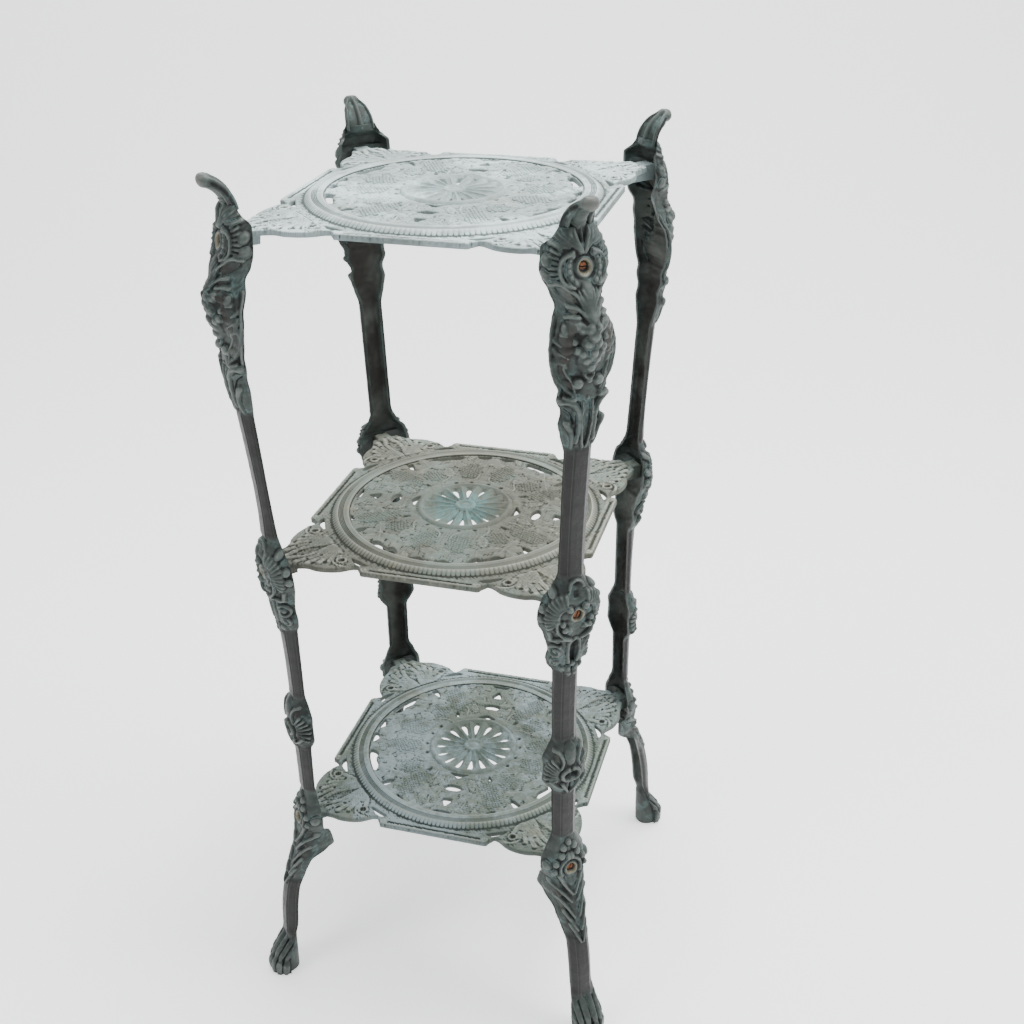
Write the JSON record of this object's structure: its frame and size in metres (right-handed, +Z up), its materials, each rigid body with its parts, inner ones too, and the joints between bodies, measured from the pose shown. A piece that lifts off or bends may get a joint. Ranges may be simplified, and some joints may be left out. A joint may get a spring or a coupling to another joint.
{
  "type": "tiered metal stand",
  "caption": "Tall cast-metal stand with pierced square shelves between ornate open-backed legs, with curled finials and paw feet.",
  "frame": {"origin": "on the ground under the middle of the stand", "axes": "+Z up; the legs stand on the diagonals between +X and +Y; the front is towards -Y"},
  "size_m": [0.3738, 0.3738, 0.8709],
  "materials": {
    "leg": "dark bronze-green patina with blue-green bloom in the recesses",
    "top_shelf": "pale weathered grey-blue bloom over the casting",
    "middle_shelf": "weathered grey-green and beige patina",
    "bottom_shelf": "weathered grey-green patina",
    "screw": "rusted, with a worn bright edge"
  },
  "bodies": {
    "root": {"leg_front_left": "leg", "leg_front_right": "leg", "leg_rear_left": "leg", "leg_rear_right": "leg", "shelf_top": "top_shelf", "shelf_middle": "middle_shelf", "shelf_bottom": "bottom_shelf", "screw_top_front_left": "screw", "screw_top_front_right": "screw", "screw_top_rear_left": "screw", "screw_top_rear_right": "screw", "screw_middle_front_left": "screw", "screw_middle_front_right": "screw", "screw_middle_rear_left": "screw", "screw_middle_rear_right": "screw", "screw_bottom_front_left": "screw", "screw_bottom_front_right": "screw", "screw_bottom_rear_left": "screw", "screw_bottom_rear_right": "screw"}
  },
  "joints": []
}
